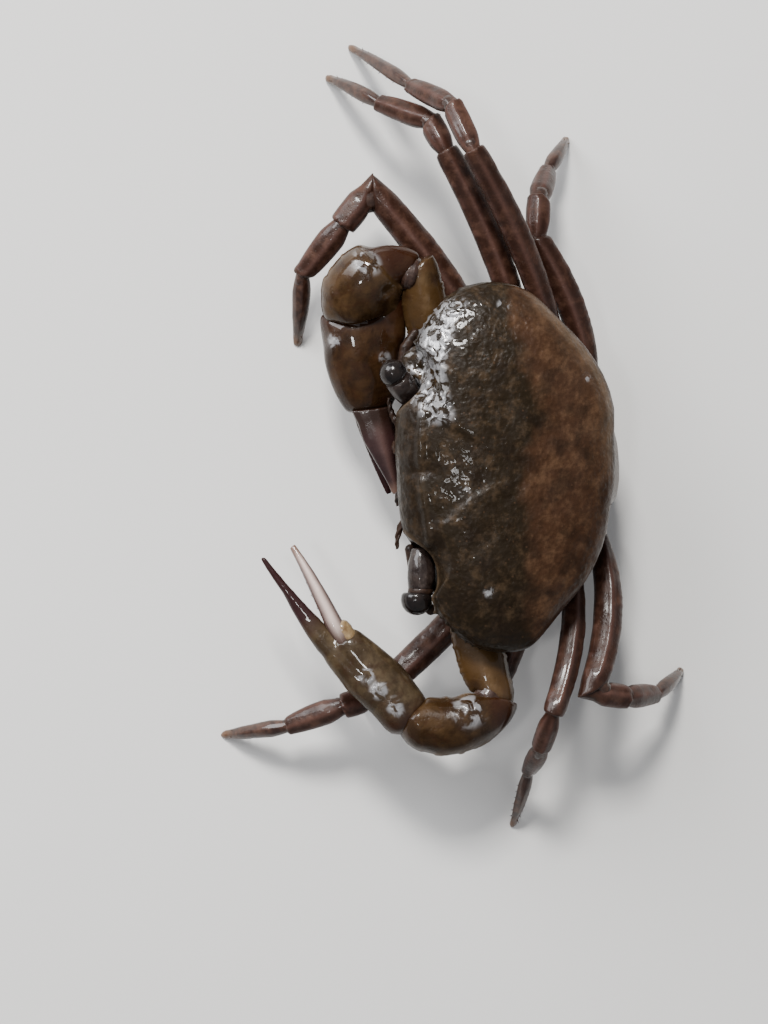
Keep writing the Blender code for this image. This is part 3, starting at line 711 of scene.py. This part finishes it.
def lineAt(line, t):
    place = min(max(t * len(line) - 0.5, 0.0), len(line) - 1.001)
    low = int(place)
    return line[low].lerp(line[low + 1], place - low)


wetAndGlintSpots = (
    # the wet places of the claws, which also carry the painted reflection: x, y and radius in mm
    (13.7, -2.7, 1.05),
    (11.4, -8.4, 0.55),
    (12.2, -7.7, 0.6),
    (13.0, -7.0, 0.5),
    (-12.1, -6.9, 0.95),
    (-6.6, -6.1, 0.4),
    (-7.6, -8.9, 0.35),
)


def nearSpots(place, spots):
    return max(hump(math.hypot(place.x - x, place.y - y), 0, radius) for x, y, radius in spots)


limbShape = {
    "grain": 0.085,  # mm
    "rounds": 4,  # of smoothing
    "crease": 0.7,  # how much of the sharp edges stays
    "tuck": 0.42,  # mm that a part's start slides into the part before it
    "waist": 0.26,  # share by which that start narrows
    "tuckShare": 0.2,  # share of the length that this takes
    "lip": 0.05,  # mm
    "reach": 0.14,  # mm that the far end grows towards the next part
    "taper": 0.0,  # share by which the far end narrows
    "lipAt": 0.93,  # share of the length
    "lipWidth": 0.05,
    "rumple": 0.025,  # mm
    "rumpleRate": 0.9,  # per mm
    "plainEnd": 0.12,  # share of the length that has no ridges at each end
}


def limbStops(chain):
    # where each part of a limb meets the one before it, with the spread there, and its end as well
    meets = [meetingPlace(near, far) for near, far in zip(chain, chain[1:])]
    return meets, [place for place, _ in meets] + [farthest(chain[-1], meets[-1][0])]


def bendAxis(stops, spot):
    # the limb's direction at one of its joints
    after = (stops[spot + 1] - stops[spot]).normalized()
    if spot:
        return (after + (stops[spot] - stops[spot - 1]).normalized()).normalized()
    return after


def dressLimbPart(
    name, node, near, far, material, slot, ridges, seed, filling=None, lean=None, **changes
):
    # a smooth skin over one limb part, with ridges and beads along it
    shape = {**limbShape, **changes}
    solid = workingCopy(node)
    if filling:
        solid = joined([solid, filling])
    bm = refined(solid, shape["grain"], shape["rounds"], shape["crease"])
    axis, length, line = middleLine(bm, near, far)
    upward = (Vector((0, 0, 1)) - axis * axis.z).normalized()
    across = axis.cross(upward)
    along, ridge, wet = [], [], []
    draw = random.Random(seed)
    phase = draw.uniform(0, 6)
    moves = []
    for vert in bm.verts:
        t = (vert.co - near).dot(axis) / length
        out = vert.co - lineAt(line, t)
        angle = math.degrees(math.atan2(out.dot(across), out.dot(upward)))
        lift, mark = 0.0, 0.0
        ends = step(0.0, shape["plainEnd"], t) * step(1.0, 1.0 - shape["plainEnd"], t)
        for turn, height, width, beads in ridges:
            apart = (angle - turn + 180) % 360 - 180
            share = hump(apart, 0, width) * ends
            if beads:
                bead = noise.noise(Vector((t * beads * 1.6 + phase, turn * 0.37, seed)))
                share *= 0.25 + 0.75 * step(-0.1, 0.4, bead)
            lift += share * height
            mark = max(mark, share)
        lift += shape["lip"] * hump(t, shape["lipAt"], shape["lipWidth"])
        rumple = noise.noise(vert.co * shape["rumpleRate"] + Vector((seed, 0, 0))) * shape["rumple"]
        start = step(shape["tuckShare"], 0.0, t)
        slide = shape["reach"] * step(0.85, 1.0, t) * step(1.15, 1.0, t) - shape["tuck"] * start
        sideways = out - axis * out.dot(axis)
        narrow = sideways * (-shape["waist"] * start - shape["taper"] * step(0.3, 1.0, t))
        moves.append(vert.normal * (lift + rumple * ends) + axis * slide + narrow)
        if lean:
            moves[-1] += lean * min(max(1.0 - t, 0.0), 1.0)
        along.append(max(t, 0.0))
        # wet places and their painted reflection, on the upward faces only
        wet.append(nearSpots(vert.co - bodyMiddle, wetAndGlintSpots) * step(0.1, 0.5, vert.normal.z))
        ridge.append(mark)
    for vert, move in zip(bm.verts, moves):
        vert.co += move
    piece(name, bm, material, (node,), {"along": along, "ridge": ridge, "wet": wet})


def cuff(place, spread, axis, reach=0.5, fullness=0.84):
    # folded soft skin in the gap of a joint
    wide = spread * fullness
    folds, sides, squash = 5, 18, 0.88
    rise = [(-reach, poleRadius), (-reach, wide * 0.6), (-reach * 0.75, wide * 0.9)]
    middle = [
        ((fold / (folds - 1) - 0.5) * reach, wide * (1.0 if fold % 2 else 0.94)) for fold in range(folds)
    ]
    fall = [(-along, radius) for along, radius in reversed(rise)]
    return turned(rise + middle + fall, place, axis, sides, squash)


legShape = {
    # ridge: turn from the top in degrees, height, width in degrees, beads
    "merus": ((-8, 0.09, 15, 0), (66, 0.04, 13, 18), (-66, 0.04, 13, 18)),
    "carpus": ((-10, 0.06, 18, 0), (58, 0.04, 16, 0), (-58, 0.04, 16, 0)),
    "propodus": ((-6, 0.05, 18, 0), (64, 0.03, 16, 0), (-64, 0.03, 16, 0)),
    "dactyl": ((0, 0.04, 16, 0), (90, 0.03, 16, 0), (-90, 0.03, 16, 0)),
}


thornShape = {
    "count": 6,  # in each row
    "rows": (45, 135, 225, 315),  # degrees round the leg
    "sway": 6,  # degrees
    "start": 0.2,  # shares of the length
    "span": 0.66,
    "legRadius": 0.40,  # mm at the near end
    "legTaper": 0.27,
    "sunk": 0.06,
    "lean": 0.9,
    "profile": ((0, poleRadius), (0, 0.055), (0.16, 0.04), (0.34, 0.004)),
}


def thorns(near, far, seed):
    # rows of small horny spines on the last part of a leg
    shape = thornShape
    draw = random.Random(seed)
    axis = (far - near).normalized()
    upward = (Vector((0, 0, 1)) - axis * axis.z).normalized()
    across = axis.cross(upward)
    made = []
    for row, turn in enumerate(shape["rows"]):
        for number in range(shape["count"]):
            t = shape["start"] + shape["span"] * (number + (row % 2) * 0.5) / shape["count"]
            angle = math.radians(turn + draw.uniform(-shape["sway"], shape["sway"]))
            outward = across * math.sin(angle) + upward * math.cos(angle)
            thick = shape["legRadius"] - shape["legTaper"] * t
            lean = (outward + axis * shape["lean"]).normalized()
            root = near.lerp(far, t) + outward * (thick - shape["sunk"])
            made.append(turned(shape["profile"], root, lean, 6))
    return joined(made)


def dressLeg(label, seed):
    side, number = label.split("_")
    name = f"leg{side.capitalize()}{number}"
    chain = ["thorax"] + [f"leg_{label}_{part}" for part in legShape]
    meets, stops = limbStops(chain)
    soft = []
    for spot, part in enumerate(legShape):
        near, far = stops[spot], stops[spot + 1]
        look = finishes["legTip" if part == "dactyl" else "leg"]
        partName = f"{name}{part.capitalize()}"
        dressLimbPart(partName, chain[spot + 1], near, far, look, "leg_shell", legShape[part], seed + spot)
        soft.append(cuff(near, meets[spot][1], bendAxis(stops, spot)))
    piece(f"{name}Skin", joined(soft), finishes["skin"])
    piece(f"{name}Thorns", thorns(stops[-2], stops[-1], seed), finishes["legTip"])


legLabels = [f"{side}_{number}" for side in ("right", "left") for number in (2, 3, 4, 5)]
for legNumber, legLabel in enumerate(legLabels):
    dressLeg(legLabel, 10 * legNumber)
print("walking legs are dressed")


clawShape = {
    "ischium": ((0, 0.05, 20, 0),),
    "merus": ((84, 0.09, 12, 14), (-84, 0.09, 12, 14), (0, 0.04, 24, 0)),
    "carpus": ((85, 0.05, 16, 9), (-85, 0.09, 13, 6)),
    "palm": (),
    "dactyl": ((0, 0.03, 36, 0),),
}
clawArmGrain = {"grain": 0.08, "rounds": 10, "crease": 0.25, "tuck": 0.5, "waist": 0.16}
clawCarpusGrain = {"grain": 0.08, "rounds": 16, "crease": 0.1}
clawGrain = {
    # what differs from limbShape
    "ischium": clawArmGrain,
    "merus": {**clawArmGrain, "reach": 0.45},
    "rightCarpus": {**clawCarpusGrain, "tuck": -0.45, "waist": 0.15, "tuckShare": 0.3},
    "leftCarpus": {**clawCarpusGrain, "tuck": 0.35, "waist": 0.05},
    "palm": {
        "grain": 0.075,
        "rounds": 16,
        "crease": 0.1,
        "tuck": 0.7,
        "waist": -0.06,
        "reach": 0.1,
        "lip": 0.0,
        "taper": 0.16,
    },
    "dactyl": {"grain": 0.055, "rounds": 5, "crease": None, "tuck": 0.5, "waist": 0.1, "lip": 0.0},
}
clawFilling = {
    # fullness at a bend or at a finger's root: x, y, z and radius in mm
    "right_carpus": (
        (-12.2, -5.5, 6.1, 1.05),
        (-11.5, -5.4, 5.9, 1.15),
        (-10.4, -6.3, 5.6, 1.35),
        (-9.8, -6.0, 5.2, 1.1),
    ),
    "right_palm": (
        (-9.0, -5.6, 4.9, 1.05),
        (-8.0, -5.6, 4.8, 0.98),
        (-6.9, -5.9, 4.6, 0.84),
        (-5.85, -6.3, 4.4, 0.7),
    ),
    "left_palm": (
        (13.2, -6.95, 6.3, 1.1),
        (11.6, -8.7, 6.2, 1.03),
        (10.2, -10.05, 6.05, 0.84),
        (8.7, -11.3, 5.85, 0.53),
        (7.4, -12.15, 5.65, 0.34),
        (6.3, -12.75, 5.5, 0.2),
    ),
}
clawSides = {
    # the finish of each part; the moving finger's lean is in mm at its root, towards the other finger
    "right": {
        "parts": ("clawArm", "clawArm", "claw", "palmRight", "fingerDark"),
        "lean": (0.0, 0.0, 0.0),
        "skin": "skin",
        "skinFullness": 0.75,
    },
    "left": {
        "parts": ("clawArm", "clawArm", "claw", "palmLeft", "fingerPale"),
        "lean": (0.55, -0.72, 0.0),
        "skin": "paleSkin",
        "skinFullness": 1.0,
    },
}


def dressClaw(side, seed):
    look = clawSides[side]
    name = f"claw{side.capitalize()}"
    chain = ["thorax"] + [f"claw_{side}_{part}" for part in clawShape]
    meets, stops = limbStops(chain)
    soft = []
    for spot, part in enumerate(clawShape):
        near, far = stops[spot], stops[spot + 1]
        finger = part == "dactyl"
        shape = clawGrain[f"{side}Carpus" if part == "carpus" else part]
        filling = clawFilling.get(f"{side}_{part}")
        filling = padded(filling) if filling else None
        lean = Vector(look["lean"]) if finger else None
        slot = "claw_finger" if finger else "claw_shell"
        settings = (finishes[look["parts"][spot]], slot, clawShape[part], seed + spot, filling, lean)
        dressLimbPart(f"{name}{part.capitalize()}", chain[spot + 1], near, far, *settings, **shape)
        axis, spread = bendAxis(stops, spot), meets[spot][1]
        if finger:
            place = near + lean * 0.6 - (far - near).normalized() * 0.1
            fold = cuff(place, spread, axis, 0.7, look["skinFullness"])
            piece(f"{name}FingerSkin", fold, finishes[look["skin"]])
        else:
            soft.append(cuff(near, spread, axis))
    piece(f"{name}Skin", joined(soft), finishes["skin"])


dressClaw("right", 101)
dressClaw("left", 131)
print("claws are dressed")


carapaceShape = {
    "grain": 0.085,
    "rounds": 9,
    "swell": 0.05,
    "wrinkle": 0.03,
    "wetWrinkle": 0.045,
    "crest": 0.12,
    "groove": 0.025,
    "dip": 0.10,  # between the eyes
    "heart": 0.03,  # the low ring round the heart
    "orbitRadius": 1.02,
    "orbitLip": 0.07,
}


def crestLine(x):
    return -4.9 + 0.3 * step(0.4, 4.2, abs(x))


def carapaceRelief(x, y):
    # crest behind the face, the curved groove and low regions, all in mm
    shape = carapaceShape
    crest = shape["crest"] * hump(y, crestLine(x), 0.22) * step(4.6, 3.6, abs(x))
    crest *= 1 - 0.7 * hump(x, 0, 0.3)
    dip = shape["dip"] * hump(x, 0, 0.35) * step(-3.4, -5.2, y)
    arc = math.hypot(abs(x) - 0.4, (y + 4.0) * 1.1) - 4.6
    groove = shape["groove"] * hump(arc, 0, 0.45) * step(-3.6, -2.2, y) * step(0.5, 1.4, abs(x))
    ring = hump(math.hypot(x / 1.5, (y - 2.2) / 1.1), 1.0, 0.16)
    return crest - dip - groove - shape["heart"] * ring * step(0.3, 1.2, abs(x))


def orbitGap(place, stalks):
    # distance from the wall of the nearer eye socket
    gaps = []
    for root, eye in stalks:
        line = eye - root
        t = min(max((place - root).dot(line) / line.length_squared, 0.0), 1.0)
        gaps.append((place - root - line * t).length)
    return min(gaps) - carapaceShape["orbitRadius"]


def carapaceWrinkle(co, place):
    # slow swells everywhere, crisp crinkles on the wet front right corner
    shape = carapaceShape
    swell = noise.fractal(co * 0.35, 1.0, 2.0, 2) * shape["swell"]
    fine = noise.fractal(co * 1.1, 0.7, 2.2, 4) * shape["wrinkle"]
    crinkle = abs(noise.noise(co * 1.7)) + 0.5 * abs(noise.noise(co * 3.4 + Vector((5, 1, 2))))
    return swell + fine - crinkle * shape["wetWrinkle"] * wetAndGlintPatch(place) * 2.6


shellGlossAndGlint = {
    "front": (-5.0, -4.15),  # mm, the foremost place of the patch on the front right slope
    "bend": 0.085,  # per mm, how it curves back along the margin
    "width": 1.0,
    "spots": ((-9.1, 0.3, 0.42), (1.3, -2.6, 0.4), (7.0, -1.5, 0.4), (-4.8, 4.9, 0.32)),  # x, y, radius
    "spotShare": 0.8,
}


def wetAndGlintPatch(place):
    # the wet places of the shell, which also carry the painted reflection: a patch and a few small spots
    glossAndGlint = shellGlossAndGlint
    frontX, frontY = glossAndGlint["front"]
    out = place.y - frontY - glossAndGlint["bend"] * (place.x - frontX) ** 2
    patch = hump(out, 0.0, glossAndGlint["width"]) * step(-10.2, -9.0, place.x) * step(-1.8, -3.4, place.x)
    return max(patch, glossAndGlint["spotShare"] * nearSpots(place, glossAndGlint["spots"]))


def dressCarapace():
    shape = carapaceShape
    bm = refined(workingCopy("carapace"), shape["grain"], shape["rounds"])
    stalks = []
    for side in ("left", "right"):
        middle, eye = centreOf(f"eye_stalk_{side}"), centreOf(f"eye_{side}")
        stalks.append((middle * 2 - eye, eye))
    rim, hollow, wet, moves = [], [], [], []
    for vert in bm.verts:
        place = vert.co - bodyMiddle
        top = step(0.15, 0.6, vert.normal.z) * step(6.6, 7.1, place.z)
        lift = (carapaceRelief(place.x, place.y) + carapaceWrinkle(vert.co, place)) * (0.25 + 0.75 * top)
        edge = hump(vert.normal.z, 0.66, 0.16) * step(6.75, 7.1, place.z)
        gap = orbitGap(vert.co, stalks)
        lip = hump(gap, 0.16, 0.13) * step(6.5, 6.9, place.z)
        lift += shape["orbitLip"] * lip
        crest = hump(place.y, crestLine(place.x) + 0.12, 0.1) * step(4.6, 3.6, abs(place.x)) * top
        # painted highlight: a pale line along the right rear edge only
        rearRimHighlight = edge * step(1.0, 3.0, place.y) * step(2.0, -2.0, place.x)
        rim.append(max(rearRimHighlight, lip * 0.55, crest * 0.15))
        # painted shade inside the eye sockets, and a darker front ahead of the crest
        face = step(0.0, -0.25, place.y - crestLine(place.x)) * step(4.8, 4.2, abs(place.x)) * 0.5
        hollow.append(max(step(0.12, -0.08, gap), face * top))
        wet.append(wetAndGlintPatch(place))
        moves.append(vert.normal * lift)
    for vert, move in zip(bm.verts, moves):
        vert.co += move
    marks = {"rim": rim, "hollow": hollow, "wet": wet}
    piece("carapaceShell", bm, finishes["shell"], ("carapace",), marks)


dressCarapace()
print("carapace is dressed")


def dressPlain(name, node, material, slot, grain, rounds, relief, shift=(0, 0, 0)):
    # a smooth skin over one of the other nodes, with its relief
    bm = refined(workingCopy(node), grain, rounds)
    bmesh.ops.translate(bm, vec=shift, verts=bm.verts)
    moves = [vert.normal * relief(vert.co - bodyMiddle, vert.normal) for vert in bm.verts]
    for vert, move in zip(bm.verts, moves):
        vert.co += move
    piece(name, bm, material, (node,))


collarProfile = (
    # mm along the stalk, and share of its width there
    (-0.3, 0.0),
    (-0.3, 0.7),
    (-0.15, 0.97),
    (0.05, 1.0),
    (0.16, 0.97),
    (0.24, 0.7),
    (0.24, 0.0),
)


def eyeCollar(side):
    # the ring of soft skin that holds the eye in the end of its stalk
    stalk, eye = centreOf(f"eye_stalk_{side}"), centreOf(f"eye_{side}")
    axis = (eye - stalk).normalized()
    near, spread = meetingPlace(f"eye_stalk_{side}", f"eye_{side}")
    far, _ = meetingPlace(f"eye_{side}", f"eye_stalk_{side}")
    profile = [(along, max(spread * share, poleRadius)) for along, share in collarProfile]
    ring = turned(profile, (near + far) / 2, axis, 24)
    piece(f"eyeCollar{side.capitalize()}", ring, finishes["feeler"])


undersideShape = {
    "seams": (-2.0, 0.0, 1.7, 3.3),  # mm, y of the seams between the plates of the breast
    "seamDepth": 0.10,
    "rearRings": (5.5, 4.3, 3.0),  # mm, z of the tail's grooves behind and y of those beneath
    "underRings": (5.4, 3.5, 1.6),
    "ringDepth": 0.14,
    "tailBow": 0.30,
    "mouthDepth": 0.10,
}


def breastRelief(place, normal):
    # seams between the plates of the breast
    seam = sum(hump(place.y - 0.25 * abs(place.x), line, 0.12) for line in undersideShape["seams"])
    return -undersideShape["seamDepth"] * seam * step(0.2, -0.4, normal.z) * step(1.2, 2.0, abs(place.x))


def tailRelief(place, normal):
    # bowed across, with a groove between the rings
    shape = undersideShape
    rear, under = step(0.2, 0.6, normal.y), step(-0.2, -0.6, normal.z)
    bow = shape["tailBow"] * max(0.0, 1 - (place.x / 2.6) ** 2) * max(rear, under)
    rings = sum(hump(place.z, level, 0.1) for level in shape["rearRings"]) * rear
    rings += sum(hump(place.y, line, 0.1) for line in shape["underRings"]) * under
    return bow - shape["ringDepth"] * rings - 0.12 * step(1.9, 2.6, abs(place.x))


def mouthRelief(place, normal):
    # the long groove of each mouth plate and the joint across it
    groove = hump(abs(place.x), 1.05 + 0.12 * (place.z - 3.0), 0.11) + hump(place.z, 4.1, 0.1)
    groove *= step(-0.2, -0.7, normal.y)
    return 0.03 * noise.noise(place * 1.3) - undersideShape["mouthDepth"] * groove


def stalkRelief(side):
    # fuller in its middle and on the side that shows
    middle = centreOf(f"eye_stalk_{side}") - bodyMiddle

    def relief(place, normal):
        belly = hump((place - middle).length, 0.62, 0.45)
        return 0.06 + 0.13 * belly * step(-0.6, 0.3, normal.z) + 0.03 * noise.noise(place * 2.2)

    return relief


eyeShape = {
    # mm that each eyeball grows, and leans out of its stalk
    "left": {"swell": 0.15, "lean": (0.05, -0.24, 0.0)},
    "right": {"swell": 0.05, "lean": (0.0, 0.0, 0.0)},
}


def corneaRelief(side):
    return lambda place, normal: eyeShape[side]["swell"] + 0.01 * noise.noise(place * 2)


orbitRidge = (
    # the dark lower edge of the eye socket: x, y, z, radius in mm
    (4.4, -5.3, 6.0, 0.34),
    (5.2, -5.2, 6.05, 0.36),
    (6.2, -5.15, 6.1, 0.37),
    (7.1, -4.95, 6.15, 0.36),
    (7.9, -4.35, 6.2, 0.33),
)


def dressOrbit(side):
    turn = 1 if side == "left" else -1
    ridge = padded([(x * turn, y, z, radius) for x, y, z, radius in orbitRidge], 3)
    bm = refined(ridge, 0.06, 8)
    piece(f"orbitRidge{side.capitalize()}", bm, finishes["feeler"])


feelerShift = (0, 0.75, -0.45)  # mm, folded back under the front edge


def feelerRelief(place, normal):
    # slimmer than the solid, in rings
    return -0.07 + 0.02 * math.sin((place.x + place.y) * 14)


dressPlain("breastPlate", "thorax", finishes["underside"], "underside", 0.09, 12, breastRelief)
dressPlain("tailFlap", "abdomen", finishes["tail"], "underside", 0.06, 14, tailRelief)
for side in ("right", "left"):
    end = side.capitalize()
    settings = (finishes["mouth"], "underside", 0.045, 4, mouthRelief)
    dressPlain(f"mouthPlate{end}", f"maxilliped_{side}", *settings)
    settings = (finishes["stalk"], "stalk", 0.05, 6, stalkRelief(side))
    dressPlain(f"eyeStalk{end}", f"eye_stalk_{side}", *settings)
    settings = (finishes["eye"], "eye", 0.04, 6, corneaRelief(side), eyeShape[side]["lean"])
    dressPlain(f"eye{end}", f"eye_{side}", *settings)
    eyeCollar(side)
    dressOrbit(side)
    for feeler in ("antenna", "antennule"):
        settings = (finishes["feeler"], "stalk", 0.04, 4, feelerRelief, feelerShift)
        dressPlain(f"{feeler}{end}", f"{feeler}_{side}", *settings)
print("underside, mouth and eyes are dressed")
